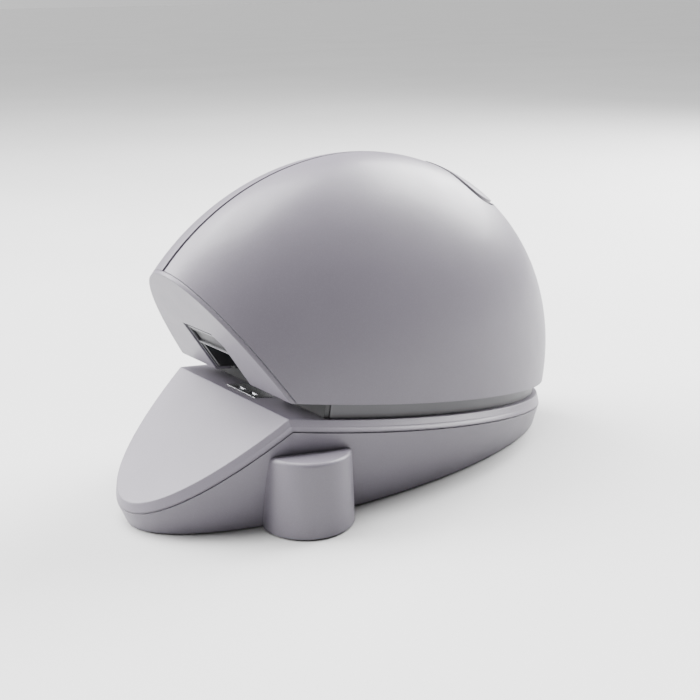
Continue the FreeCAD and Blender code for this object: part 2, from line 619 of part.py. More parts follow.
def make_frames():
    lever_y, lever_z = "pivot_y", "axis_z"
    left = fuse("left_frame_blank",
                box("left_low", ("frame_x", "frame_x+sheet_thick"), ("frame_front", "frame_rear"), ("floor_top", "frame_top")),
                box("left_tower", ("frame_x", "frame_x+sheet_thick"), ("tower_front", "tower_rear"),
                    ("frame_top-5", "tower_top")))
    motor_y, motor_z = motor_centre()
    idler_y, idler_z = idler_centre()
    holes = [rod("left_pivot_hole", "x", "pivot_pin", (5, lever_y, lever_z), 10),
             rod("left_crank_hole", "x", "axle", (5, "crank_y", "axis_z"), 10),
             rod("left_idler_hole", "x", 3.6, (5, idler_y, idler_z), 10),
             rod("left_motor_hole", "x", 4.0, (5, motor_y, motor_z), 10)]
    node("left_frame", cut("left_frame", left, *holes), HEAD)
    right = box("right_low", ("-frame_x-sheet_thick", "-frame_x"), ("frame_front", "frame_rear"),
                ("floor_top", "frame_top+2"))
    node("right_frame", cut("right_frame", right, rod("right_pivot_hole", "x", "pivot_pin", (-15, lever_y, lever_z), 10)),
         HEAD)
    bars = [rod(f"spacer_{i}", "x", 2.0, ("-frame_x", y, z), "2*frame_x")
            for i, (y, z) in enumerate([(21.0, 19.0), (80.0, 20.0), (80.0, 34.0)])]
    node("frame_spacers", group("frame_spacers", *bars), HEAD)
    rails = [box(f"rail_{word}", *(((f"{low}", f"{high}"),)), (15.5, 77), (8, 13))
             for word, low, high in (("left", "mag_half+0.15", "frame_x"), ("right", "-frame_x", "-mag_half-0.15"))]
    node("magazine_rails", group("magazine_rails", *rails), HEAD)
    guides = [box(f"guide_{word}", (low, high), (5.95, 10.2), ("mag_top+1.2", 58))
              for word, low, high in (("left", "7.1", "frame_x"), ("right", "-frame_x", "-7.1"))]
    node("driver_guides", group("driver_guides", *guides), HEAD)
    lever_pin = rod("lever_pivot_pin", "x", "pivot_pin", ("-frame_x-sheet_thick", lever_y, lever_z),
                    "2*(frame_x+sheet_thick)")
    node("lever_pivot_pin", lever_pin, HEAD)


def crank_centre():
    return size("crank_y"), size("axis_z")


def polar(centre, distance, bearing):
    turn = math.radians(bearing)
    return centre[0] + distance * math.cos(turn), centre[1] + distance * math.sin(turn)


def idler_centre():
    distance = size("coarse_module") * (size("crank_teeth") + size("idler_pinion_teeth")) / 2
    return polar(crank_centre(), distance, size("idler_bearing"))


def motor_centre():
    distance = size("fine_module") * (size("idler_wheel_teeth") + size("motor_teeth")) / 2
    return polar(idler_centre(), distance, size("motor_bearing"))


# ---------------------------------------------------------------- magazine

def make_magazine():
    outer = box("channel_outer", ("-mag_half", "mag_half"), ("mag_front", "mag_rear"), ("mag_bottom", "mag_top"))
    inner = box("channel_inner", ("-mag_half+mag_sheet", "mag_half-mag_sheet"),
                ("mag_front+mag_sheet", "mag_rear-mag_sheet"), ("mag_bottom+mag_sheet", 20))
    slot = box("channel_slot", ("-mag_half+mag_sheet", "mag_half-mag_sheet"),
               ("mag_front+mag_sheet", "blade_y+blade_thick+0.15"), (0, 20))
    node("magazine_channel", cut("magazine_channel", outer, inner, slot), HEAD)

    core = box("core_outer", ("-rail_half", "rail_half"), (6.7, 76), ("mag_bottom+mag_sheet", 12.7))
    room = box("core_room", ("-rail_half+0.8", "rail_half-0.8"), (6.0, 80), (0, 11.9))
    track = box("core_track", (-1.2, 1.2), (28, 66), (0, 20))
    node("staple_rail", cut("staple_rail", core, room, track), HEAD)

    guide = rod("guide_rod", "y", "rod_radius", (0, 7.0, "rod_z"), "mag_rear-mag_sheet-7")
    node("spring_guide_rod", guide, HEAD)

    staples = []
    for i in range(int(size("strip_count"))):
        start = 7.0 + i * size("staple_pitch")
        span = (start, start + size("staple_pitch") - 0.02)
        arch = box(f"staple_{i}_arch", ("-crown/2", "crown/2"), span, (7.35, 13.35))
        hole = box(f"staple_{i}_hole", ("-crown/2+wire", "crown/2-wire"), span, (7.0, "13.35-wire"))
        staples.append(cut(f"staple_{i}", arch, hole))
    node("staple_strip", group("staple_strip", *staples), HEAD)

    y_span = ("pusher_front", "pusher_front+pusher_long")
    saddle = box("pusher_saddle", (-6.4, 6.4), y_span, (7.4, 13.8))
    over = box("pusher_over", (-5.75, 5.75), (20, 80), (7.0, 12.85))
    tongue = box("pusher_tongue", (-0.95, 0.95), y_span, (9, 13.2))
    block = box("pusher_block", (-3, 3), ("pusher_front+1", "pusher_front+pusher_long-1"), (7.8, 11.6))
    bore = rod("pusher_bore", "y", "rod_radius+0.08", (0, 20, "rod_z"), 40)
    node("pusher", cut("pusher", fuse("pusher_solid", cut("pusher_shell", saddle, over), tongue, block), bore), HEAD)
    node("pusher_spring", coil("pusher_coil", 1.7, 0.25, "pusher_front+pusher_long-0.7", 76.9, 16, "rod_z"),
         HEAD)

    low, high = size("nose_recess"), size("nose_recess") + size("nose_thick")
    plate = facet_box("nose_plate", ("-nose_half", "nose_half"), (low, high), (-10, 40))
    cheek_room = box("nose_room", ("-nose_half", "nose_half"), (-40, 14), ("mag_bottom", "nose_top"))
    cheeks = [common(f"cheek_{word}", box(f"cheek_{word}_block", (inner_x, outer_x), (-30, 14), ("mag_bottom", "mag_top")),
                     facet_box(f"cheek_{word}_cut", (-30, 30), (low, 60), (-30, 60)))
              for word, inner_x, outer_x in (("left", "mag_half", "nose_half"), ("right", "-nose_half", "-mag_half"))]
    front = common("nose_front", plate, cheek_room)
    window = facet_box("nose_pocket", (-9.2, 8.7), (-5, "nose_recess+1.0"), (12.9, 17.4))
    mouth = facet_box("nose_mouth", (-9.2, 9.2), (-5, 20), (-20, 12.1))
    keep = cut("nose_frame", front, window, mouth)
    corner = feature("nose_corner", nose_corner_shape())
    node("magazine_nose", cut("magazine_nose", fuse("nose_solid", keep, *cheeks), corner), HEAD)
    trim = [facet_box("trim_side", (-10.0, -9.4), ("nose_recess-0.3", "nose_recess"), (0.5, 19.4)),
            facet_box("trim_top", (-10.0, 6.0), ("nose_recess-0.3", "nose_recess"), (18.8, 19.4)),
            facet_box("trim_bar", (-9.7, 8.7), ("nose_recess-0.3", "nose_recess"), (12.2, 12.8))]
    node("nose_trim", fuse("nose_trim", *trim), HEAD)
    node("nose_window", facet_box("nose_window_pane", (-9.1, 8.6), ("nose_recess+0.5", "nose_recess+0.95"),
                                  (13.0, 17.3)), HEAD)


def nose_corner_shape():
    """The wedge that takes off the nose's upper corner beside the opening's cut corner."""
    half, top, corner = size("nose_half"), size("nose_top"), size("opening_chamfer")
    outline = [(half - corner, top + 0.01), (half + 1, top + 0.01), (half + 1, top - corner)]
    points = [Vector(x, -40, z) for x, z in outline]
    return Part.Face(Part.makePolygon(points + points[:1])).extrude(Vector(0, 80, 0))


def coil(name, radius, wire, start, end, turns, height):
    """A compression spring swept along a helix that lies rearwards in the magazine."""
    low, high = sheet_value(start) + wire, sheet_value(end) - wire
    path = Part.makeHelix((high - low) / turns, high - low, radius)
    section = Part.Wire([Part.makeCircle(wire, Vector(radius, 0, 0), Vector(0, 1, 0))])
    swept = Part.Wire(path).makePipeShell([section], True, True)
    swept.Placement = Placement(Vector(0, low, size(height)), TURNS["y"])
    return feature(name, swept)


# ---------------------------------------------------------------- drive

def involute(angle):
    return math.tan(angle) - angle


def gear(module, teeth, width, bore, phase=0.0, backlash=0.12):
    """An external spur gear on the Z axis with a tooth centred at the phase angle."""
    pitch = module * teeth / 2
    base = pitch * math.cos(math.radians(20))
    tip, root = pitch + module - 0.05, pitch - 1.25 * module
    half = math.pi / (2 * teeth) - backlash / (2 * pitch) + involute(math.radians(20))
    start = max(base, root + 0.05)
    radii = [start + (tip - start) * step / 4 for step in range(5)]
    offsets = [half - involute(math.acos(min(1.0, base / radius))) for radius in radii]

    def at(radius, angle):
        return Vector(radius * math.cos(angle), radius * math.sin(angle), 0)

    edges = []
    for tooth in range(teeth):
        middle = math.radians(phase) + 2 * math.pi * tooth / teeth
        following = middle + 2 * math.pi / teeth
        rising = Part.BSplineCurve()
        rising.interpolate([at(r, middle - off) for r, off in zip(radii, offsets)])
        falling = Part.BSplineCurve()
        falling.interpolate([at(r, middle + off) for r, off in reversed(list(zip(radii, offsets)))])
        edges.append(Part.makeLine(at(root, middle - offsets[0]), at(radii[0], middle - offsets[0])))
        edges.append(rising.toShape())
        edges.append(Part.Arc(at(tip, middle - offsets[-1]), at(tip, middle), at(tip, middle + offsets[-1])).toShape())
        edges.append(falling.toShape())
        edges.append(Part.makeLine(at(radii[0], middle + offsets[0]), at(root, middle + offsets[0])))
        edges.append(Part.Arc(at(root, middle + offsets[0]), at(root, (middle + following) / 2),
                              at(root, following - offsets[0])).toShape())
    blank = Part.Face(Part.Wire(edges)).extrude(Vector(0, 0, width))
    return blank.cut(Part.makeCylinder(bore, width, Vector()))


def mesh_phase(first_phase, first_teeth, second_teeth, bearing):
    """The phase of a second gear that sits on a bearing from a first gear and meshes with it."""
    first_pitch, second_pitch = 360 / first_teeth, 360 / second_teeth
    part_way = ((bearing - first_phase) / first_pitch) % 1
    return bearing + 180 + (part_way + 0.5) * second_pitch


def across(x, centre):
    """Place a piece made on the Z axis so that it lies along X, starting at x."""
    return Placement(Vector(x, *centre), TURNS["x"])


# a piece turned from Z to X shows its own angle less 90 degrees in the head frame
def own_angle(angle):
    return angle + 90


def make_gears():
    crank, idler, motor = crank_centre(), idler_centre(), motor_centre()
    count = {name: int(size(name)) for name in ("crank_teeth", "idler_pinion_teeth", "idler_wheel_teeth", "motor_teeth")}
    coarse, fine, face = size("coarse_module"), size("fine_module"), size("gear_face")
    slack = size("running")
    gear_x = 3.0
    wheel_x = size("frame_x") + size("sheet_thick") + 0.8

    wheel = gear(coarse, count["crank_teeth"], face, size("axle") + slack, own_angle(0))
    wheel.Placement = across(gear_x, crank)
    hub = Part.makeCylinder(5.0, 3.0).cut(Part.makeCylinder(size("axle") + slack, 3.0))
    hub.Placement = across(gear_x + face, crank)
    throw = crank_throw()
    seat = Part.makeCylinder(size("crank_pin_radius"), face)
    seat.Placement = across(gear_x, (crank[0], crank[1] + throw))
    web = [Part.makeCylinder(2.6, face) for angle in range(5)]
    for number, drum in enumerate(web):
        drum.Placement = across(gear_x, polar(crank, 10.5, 90 + 60 * (number + 1)))
    node("crank_gear", feature("crank_gear", wheel.fuse(hub).cut(seat).cut(Part.makeCompound(web))), HEAD)
    pin = rod("crank_pin", "x", "crank_pin_radius", (-2.8, crank[0], crank[1] + throw), "2.8+3.0+gear_face")
    node("crank_pin", pin, HEAD)
    stub = rod("crank_axle", "x", "axle", (gear_x + 0.2, *crank), "frame_x+sheet_thick-3.2")
    node("crank_axle", stub, HEAD)

    pinion_phase = mesh_phase(0, count["crank_teeth"], count["idler_pinion_teeth"], size("idler_bearing"))
    pinion = gear(coarse, count["idler_pinion_teeth"], 6.9, 1.5 + slack, own_angle(pinion_phase))
    pinion.Placement = across(gear_x, idler)
    sleeve = Part.makeCylinder(3.2, wheel_x - gear_x - 6.9).cut(Part.makeCylinder(1.5 + slack, 10))
    sleeve.Placement = across(gear_x + 6.9, idler)
    big = gear(fine, count["idler_wheel_teeth"], 2.4, 1.5 + slack, own_angle(0))
    big.Placement = across(wheel_x, idler)
    node("idler_pinion", feature("idler_pinion", pinion.fuse(sleeve)), HEAD)
    node("idler_wheel", feature("idler_wheel", big), HEAD)
    axle = rod("idler_axle", "x", 1.5, (gear_x - 0.4, *idler), wheel_x + 5.0 - gear_x)
    node("idler_axle", axle, HEAD)

    drive_phase = mesh_phase(0, count["idler_wheel_teeth"], count["motor_teeth"], size("motor_bearing"))
    small = gear(fine, count["motor_teeth"], 3.0, 1.0, own_angle(drive_phase))
    small.Placement = across(wheel_x - 0.3, motor)
    node("motor_pinion", feature("motor_pinion", small), HEAD)
    shaft_start = size("frame_x") - size("motor_long") - 1.0
    shaft = rod("motor_shaft", "x", 1.0, (shaft_start, *motor), "motor_long+6")
    node("motor_shaft", shaft, HEAD)
    core = rod("rotor_core", "x", 8.2, ("frame_x-motor_long+6.5", *motor), 17)
    rotor_hole = rod("rotor_hole", "x", 1.0, (-30, *motor), 60)
    node("motor_rotor", cut("motor_rotor", core, rotor_hole), HEAD)
    can = rod("motor_can_outer", "x", "motor_radius", ("frame_x-motor_long+4", *motor), "motor_long-4")
    room = rod("motor_can_room", "x", "motor_radius-1", ("frame_x-motor_long+3", *motor), "motor_long-4.2")
    hole = rod("motor_can_hole", "x", 1.05, (-30, *motor), 60)
    flats = [box(f"motor_flat_{word}", (-30, 30), (motor[0] - 20, motor[0] + 20), span)
             for word, span in (("top", (motor[1] + 10, motor[1] + 20)), ("low", (motor[1] - 20, motor[1] - 10)))]
    node("motor_can", cut("motor_can", can, room, hole, *flats), HEAD)
    cap = rod("motor_cap_blank", "x", "motor_radius-0.3", ("frame_x-motor_long", *motor), 4)
    cap_hole = rod("motor_cap_hole", "x", 1.05, (-30, *motor), 60)
    cap_flats = [box(f"cap_flat_{word}", (-30, 30), (motor[0] - 20, motor[0] + 20), span)
                 for word, span in (("top", (motor[1] + 9.8, motor[1] + 20)), ("low", (motor[1] - 20, motor[1] - 9.8)))]
    node("motor_end_cap", cut("motor_end_cap", cap, cap_hole, *cap_flats), HEAD)


def make_gear_plate():
    """The outer plate that carries the idler's axle and steadies the motor shaft."""
    plate_x = size("frame_x") + size("sheet_thick") + 4.2
    plate = box("gear_plate_blank", (plate_x, plate_x + 1.2), (42, 80), (34, 60))
    legs = [rod(f"gear_plate_leg_{i}", "x", 1.8, ("frame_x+sheet_thick", y, z), 4.4)
            for i, (y, z) in enumerate([(78, 36.5), (44.5, 57.5), (66, 58.0)])]
    bearings = [rod("gear_plate_idler", "x", 1.5, (10, *idler_centre()), 10),
                rod("gear_plate_motor", "x", 1.3, (10, *motor_centre()), 10)]
    node("gear_plate", cut("gear_plate", fuse("gear_plate_solid", plate, *legs), *bearings), HEAD)


def half_swing():
    """Half of the lever's swing, in degrees."""
    return math.degrees(math.atan(size("driver_stroke") / 2 / (size("pivot_y") - size("tip_y"))))


def crank_throw():
    return (size("pivot_y") - size("crank_y")) * math.tan(math.radians(half_swing()))


def make_lever():
    """The drive lever in its own frame: pivot at the origin, tip towards -y, then tipped up to rest."""
    reach = math.hypot(size("pivot_y") - size("tip_y"), size("driver_stroke") / 2)
    crank_reach = math.hypot(size("pivot_y") - size("crank_y"), crank_throw())
    half_x = ("-lever_thick/2", "lever_thick/2")
    bar = box("lever_bar", half_x, (-reach, 0), ("-lever_half", "lever_half"))
    ends = [rod(f"lever_end_{word}", "x", "lever_half", ("-lever_thick/2", y, 0), "lever_thick")
            for word, y in (("pivot", 0), ("tip", -reach))]
    eye = rod("lever_eye", "x", "pivot_pin+running", (-5, 0, 0), 10)
    throw = crank_throw()
    crank_slot = slot("lever_crank_slot", -crank_reach - throw - 1.2, -crank_reach + throw + 1.2, 2.6)
    tip_slot = slot("lever_tip_slot", -reach - 1.2, -reach + 1.4, 2.0)
    rest = Placement(Vector(0, size("pivot_y"), size("axis_z")), Rotation(Vector(1, 0, 0), -half_swing()))
    node("drive_lever", cut("drive_lever", fuse("lever_solid", bar, *ends), eye, crank_slot, tip_slot),
         HEAD.multiply(rest))


def slot(name, low, high, radius):
    return fuse(name, box(name + "_flat", (-5, 5), (low, high), (-radius, radius)),
                rod(name + "_near", "x", radius, (-5, low, 0), 10), rod(name + "_far", "x", radius, (-5, high, 0), 10))


def make_driver():
    pin_z = size("axis_z") + size("driver_stroke") / 2
    node("driver_blade", box("driver_blade", ("-blade_half", "blade_half"), ("blade_y", "blade_y+blade_thick"),
                             ("blade_bottom", 40)), HEAD)
    block = box("holder_block", (-6.9, 6.9), ("blade_y+blade_thick", 9.8), (28.6, 45))
    ears = [box(f"holder_ear_{word}", (low, high), (9.7, 18.8), (pin_z - 4, pin_z + 4))
            for word, low, high in (("left", 2.7, 4.9), ("right", -4.9, -2.7))]
    hole = rod("holder_hole", "x", "tip_pin", (-8, "tip_y", pin_z), 16)
    node("driver_holder", cut("driver_holder", fuse("holder_solid", block, *ears), hole), HEAD)
    node("driver_pin", rod("driver_pin", "x", "tip_pin", (-4.9, "tip_y", pin_z), 9.8), HEAD)


# ---------------------------------------------------------------- trigger, release and electrics

def make_trigger():
    x = ("flag_x-1.5", "flag_x+1.5")
    arm = box("flag_arm", x, (10.8, 12.3), ("flag_z-flag_reach", "flag_z"))
    web = box("flag_web", x, (10.8, 15), ("flag_z-1.4", "flag_z+1.4"))
    boss = rod("flag_boss", "x", 2.6, ("flag_x-1.5", "flag_y", "flag_z"), 3)
    tail = box("flag_tail", x, ("flag_y", "flag_y+9"), ("flag_z+0.4", "flag_z+2.4"))
    eye = rod("flag_eye", "x", "1.0+running", (0, "flag_y", "flag_z"), 40)
    node("paper_trigger", cut("paper_trigger", fuse("flag_solid", arm, web, boss, tail), eye), HEAD)
    node("trigger_pin", rod("trigger_pin", "x", 1.0, ("frame_x+sheet_thick", "flag_y", "flag_z"), 6.0), HEAD)
    body = box("trigger_switch_body", ("frame_x+sheet_thick", "frame_x+sheet_thick+6"), (19, 32), (17.4, 24))
    button = box("trigger_switch_button", ("flag_x-1", "flag_x+1"), (22.5, 24), (16.6, 17.6))
    node("trigger_switch", fuse("trigger_switch", body, button), HEAD)
    home = box("home_switch_body", ("frame_x-3.2", "frame_x"), (22, 33), (52, 58))
    tower = box("home_switch_tab", ("frame_x", "frame_x+sheet_thick"), (20, "tower_front"), (51, 59))
    node("home_switch", fuse("home_switch", home, tower), HEAD)


def make_release():
    bar = rod("link_bar", "z", "link_radius", (0, "link_y", 14), "link_top-14")
    collar = rod("link_collar", "z", 3.8, (0, "link_y", 44), 1.5)
    pad = rod("link_pad", "z", 3.0, (0, "link_y", "link_top-1.5"), 1.5)
    toe = box("link_toe", (-4, 4), (78.4, 91), (10.6, 15))
    node("release_link", fuse("release_link", bar, collar, pad, toe), HEAD)
    block = box("link_guide_block", ("-frame_x", "frame_x"), (84.5, 91.8), (24, 32))
    hole = rod("link_guide_hole", "z", "link_radius+running", (0, "link_y", 20), 20)
    node("link_guide", cut("link_guide", block, hole), HEAD)
    bend = [(91.0, 32.05), (90.45, 32.05), (84.9, 38.0), (90.45, 43.95), (91.0, 43.95), (85.45, 38.0)]
    points = [Vector(2.3, y, z) for y, z in bend]
    leaf = Part.Face(Part.makePolygon(points + points[:1])).extrude(Vector(2.8, 0, 0))
    node("release_spring", feature("release_leaf", leaf), HEAD)


def make_electrics():
    board = box("board", (-17.2, -15.6), (14, 70), (9, 35))
    node("circuit_board", board, HEAD)
    corners = [(y, z) for y in (18, 66) for z in (12, 32)]
    standoffs = [rod(f"standoff_{i}", "x", 2.2, (-15.6, y, z), "15.6-frame_x-sheet_thick")
              for i, (y, z) in enumerate(corners)]
    node("board_standoffs", group("board_standoffs", *standoffs), HEAD)
    fittings = [rod("capacitor", "x", 5.0, (-29.2, 27, 22), 12), rod("small_capacitor", "x", 3.2, (-25.2, 37, 28), 8),
              box("relay", (-29.2, -17.2), (44, 60), (12, 27)), box("plug_socket", (-23.2, -17.2), (40, 42.8), (11, 21)),
              box("driver_chip", (-19.2, -17.2), (32, 38), (12, 17))]
    node("board_parts", group("board_parts", *fittings), HEAD)


make_base_shell()
make_deck_cover()
make_base_hardware()
make_anvil()
make_neck()
make_head_shells()
make_bezel()
make_head_floor()
make_button()
make_frames()
make_magazine()
make_gears()
make_gear_plate()
make_lever()
make_driver()
make_trigger()
make_release()
make_electrics()
doc.recompute()

failed = [thing.Name for thing in doc.Objects if {"Invalid", "Error"} & set(thing.State)]
if failed:
    raise SystemExit(f"these features failed: {failed}")
os.makedirs("parts", exist_ok=True)
for piece in NODES:
    if piece.Shape.isNull() or not piece.Shape.isValid() or not piece.Shape.Solids:
        raise SystemExit(f"{piece.Label} has no valid solid")
    piece.Shape.exportStep(f"parts/{piece.Label}.step")
    print(f"{piece.Label:20s} solids {len(piece.Shape.Solids):3d}  volume {piece.Shape.Volume:10.1f}")
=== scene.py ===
"""Looks of the electric stapler: materials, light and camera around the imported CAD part. Metres."""

import json
import math

import bpy
from mathutils import Matrix, Vector


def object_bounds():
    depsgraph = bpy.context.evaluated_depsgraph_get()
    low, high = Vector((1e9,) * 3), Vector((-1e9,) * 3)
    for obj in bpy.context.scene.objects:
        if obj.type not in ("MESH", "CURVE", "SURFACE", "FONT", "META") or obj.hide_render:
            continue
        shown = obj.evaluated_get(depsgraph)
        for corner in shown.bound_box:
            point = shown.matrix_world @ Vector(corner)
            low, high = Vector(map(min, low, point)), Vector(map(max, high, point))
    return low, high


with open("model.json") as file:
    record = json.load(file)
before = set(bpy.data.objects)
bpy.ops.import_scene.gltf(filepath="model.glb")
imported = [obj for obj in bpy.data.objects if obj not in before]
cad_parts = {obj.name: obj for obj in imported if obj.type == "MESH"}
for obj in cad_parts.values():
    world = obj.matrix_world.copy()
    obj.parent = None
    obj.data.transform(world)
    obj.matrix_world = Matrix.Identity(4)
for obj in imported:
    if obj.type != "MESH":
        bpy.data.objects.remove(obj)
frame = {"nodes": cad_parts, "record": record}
cad_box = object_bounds()
scene = bpy.context.scene
MM = 0.001


# ---------------------------------------------------------------- shader helpers

class Shader:
    """A Principled material that is put together from procedural nodes in object space."""

    def __init__(self, name):
        self.material = bpy.data.materials.new(name)
        self.material.use_nodes = True
        self.tree = self.material.node_tree
        self.principled = self.tree.nodes["Principled BSDF"]
        self.coordinates = self.tree.nodes.new("ShaderNodeTexCoord").outputs["Object"]

    def set(self, **values):
        for socket, value in values.items():
            self.principled.inputs[socket.replace("_", " ")].default_value = value
        return self

    def link(self, output, socket):
        self.tree.links.new(output, self.principled.inputs[socket])

    def stretched(self, scale):
        mapping = self.tree.nodes.new("ShaderNodeMapping")
        mapping.inputs["Scale"].default_value = scale
        self.tree.links.new(self.coordinates, mapping.inputs["Vector"])
        return mapping.outputs["Vector"]

    def noise(self, feature, detail=3.0, roughness=0.55, stretch=None):
        """Fractal noise whose largest features are about this many metres across."""
        node = self.tree.nodes.new("ShaderNodeTexNoise")
        node.inputs["Scale"].default_value = 1.0 / feature
        node.inputs["Detail"].default_value = detail
        node.inputs["Roughness"].default_value = roughness
        self.tree.links.new(self.stretched(stretch) if stretch else self.coordinates, node.inputs["Vector"])
        return node.outputs["Fac"]

    def cells(self, feature):
        node = self.tree.nodes.new("ShaderNodeTexVoronoi")
        node.inputs["Scale"].default_value = 1.0 / feature
        self.tree.links.new(self.coordinates, node.inputs["Vector"])
        return node.outputs["Color"]

    def ramp(self, factor, *stops):
        """A colour ramp; each stop is (position, colour or grey)."""
        node = self.tree.nodes.new("ShaderNodeValToRGB")
        while len(node.color_ramp.elements) < len(stops):
            node.color_ramp.elements.new(0.5)
        for element, (position, colour) in zip(node.color_ramp.elements, stops):
            element.position = position
            element.color = (*colour, 1.0) if isinstance(colour, tuple) else (colour, colour, colour, 1.0)
        self.tree.links.new(factor, node.inputs["Fac"])
        return node.outputs["Color"]

    def mix(self, factor, a, b, blend="MIX"):
        node = self.tree.nodes.new("ShaderNodeMix")
        node.data_type = "RGBA"
        node.blend_type = blend
        for socket, value in ((node.inputs["Factor"], factor), (node.inputs[6], a), (node.inputs[7], b)):
            if isinstance(value, bpy.types.NodeSocket):
                self.tree.links.new(value, socket)
            else:
                socket.default_value = value if isinstance(value, (int, float)) else (*value, 1.0)
        return node.outputs[2]

    def relief(self, *layers, rounding=0.0):
        """Stack bump layers (height, depth in metres) on edges that are softened by a small radius."""
        normal = None
        if rounding:
            bevel = self.tree.nodes.new("ShaderNodeBevel")
            bevel.samples = 6
            bevel.inputs["Radius"].default_value = rounding
            normal = bevel.outputs["Normal"]
        for height, depth in layers:
            bump = self.tree.nodes.new("ShaderNodeBump")
            bump.inputs["Strength"].default_value = 1.0
            bump.inputs["Distance"].default_value = depth
            self.tree.links.new(height, bump.inputs["Height"])
            if normal is not None:
                self.tree.links.new(normal, bump.inputs["Normal"])
            normal = bump.outputs["Normal"]
        self.link(normal, "Normal")
        return self


def moulded_plastic(name, colour, roughness, flake=0.0, grain=0.004 * MM, rounding=0.35 * MM, coat=0.0):
    """Moulded plastic: fine spark-eroded grain, slow colour drift, faint rub marks, optional metal flake."""
    shader = Shader(name)
    dark = tuple(0.955 * channel for channel in colour)
    light = tuple(min(1.0, 1.03 * channel) for channel in colour)
    drift = shader.ramp(shader.noise(0.03, detail=2.0), (0.35, dark), (0.65, light))
    base = drift
    if flake:
        specks = shader.ramp(shader.cells(0.16 * MM), (0.55, 0.0), (0.95, 1.0))
        bright = tuple(min(1.0, 1.28 * channel) for channel in colour)
        base = shader.mix(flake, drift, shader.mix(specks, dark, bright))
    shader.link(base, "Base Color")
    rubs = shader.noise(0.012, detail=6.0, roughness=0.7)
    shader.link(shader.ramp(rubs, (0.3, roughness - 0.035), (0.7, roughness + 0.035)), "Roughness")
    shader.set(IOR=1.5, Coat_Weight=coat, Coat_Roughness=0.12)
    shader.relief((shader.noise(0.35 * MM, detail=2.0), grain), rounding=rounding)
    return shader.material


def metal(name, colour, roughness, brushed=None, rounding=0.15 * MM, spots=0.0):
    """Bare or plated metal with brushing or drawing lines, stains and small scratches."""
    shader = Shader(name)
    stains = shader.noise(6 * MM, detail=5.0, roughness=0.6)
    dark = tuple(0.78 * channel for channel in colour)
    base = shader.ramp(stains, (0.3, dark), (0.62, colour))
    if spots:
        spangle = shader.ramp(shader.cells(1.6 * MM), (0.0, 0.8), (1.0, 1.0))
        base = shader.mix(spots, base, shader.mix(1.0, base, spangle, "MULTIPLY"))
    shader.link(base, "Base Color")
    if brushed:
        lines = shader.noise(0.4 * MM, detail=4.0, stretch=brushed)
    else:
        lines = shader.noise(0.5 * MM, detail=4.0)
    shader.link(shader.ramp(lines, (0.3, roughness - 0.08), (0.7, roughness + 0.1)), "Roughness")
    shader.set(Metallic=1.0)
    shader.relief((lines, 0.003 * MM), rounding=rounding)
    return shader.material


def rubber(name, colour):
    shader = Shader(name)
    dust = shader.noise(4 * MM, detail=6.0)
    dusty = tuple(channel + 0.03 for channel in colour)
    shader.link(shader.ramp(dust, (0.4, colour), (0.75, dusty)), "Base Color")
    shader.set(Roughness=0.82, IOR=1.45)
    shader.relief((shader.noise(0.25 * MM, detail=2.0), 0.02 * MM), rounding=0.3 * MM)
    return shader.material


def copper_winding(name):
    shader = Shader(name)
    wave = shader.tree.nodes.new("ShaderNodeTexWave")
    wave.bands_direction = "X"
    wave.inputs["Scale"].default_value = 1.0 / (1.2 * MM)
    wave.inputs["Distortion"].default_value = 1.2
    shader.tree.links.new(shader.coordinates, wave.inputs["Vector"])
    enamel = shader.ramp(wave.outputs["Fac"], (0.2, (0.28, 0.1, 0.05)), (0.7, (0.62, 0.28, 0.15)))
    shader.link(enamel, "Base Color")
    shader.set(Metallic=0.9, Roughness=0.32)
    shader.relief((wave.outputs["Fac"], 0.1 * MM))
    return shader.material


def circuit_laminate(name):
    """Solder resist over copper tracks, with a faint weave below."""
    shader = Shader(name)
    brick = shader.tree.nodes.new("ShaderNodeTexBrick")
    brick.inputs["Scale"].default_value = 1.0 / (3.0 * MM)
    brick.inputs["Mortar Size"].default_value = 0.06
    brick.inputs["Color1"].default_value = (0.012, 0.11, 0.045, 1)
    brick.inputs["Color2"].default_value = (0.014, 0.13, 0.05, 1)
    brick.inputs["Mortar"].default_value = (0.03, 0.24, 0.1, 1)
    turn = shader.tree.nodes.new("ShaderNodeMapping")
    turn.inputs["Rotation"].default_value = (0.0, math.radians(90), math.radians(90))
    shader.tree.links.new(shader.coordinates, turn.inputs["Vector"])
    shader.tree.links.new(turn.outputs["Vector"], brick.inputs["Vector"])
    shader.link(brick.outputs["Color"], "Base Color")
    shader.set(Roughness=0.3, IOR=1.5, Coat_Weight=0.4)
    shader.relief((brick.outputs["Fac"], 0.02 * MM), rounding=0.1 * MM)
    return shader.material


# ---------------------------------------------------------------- finishes

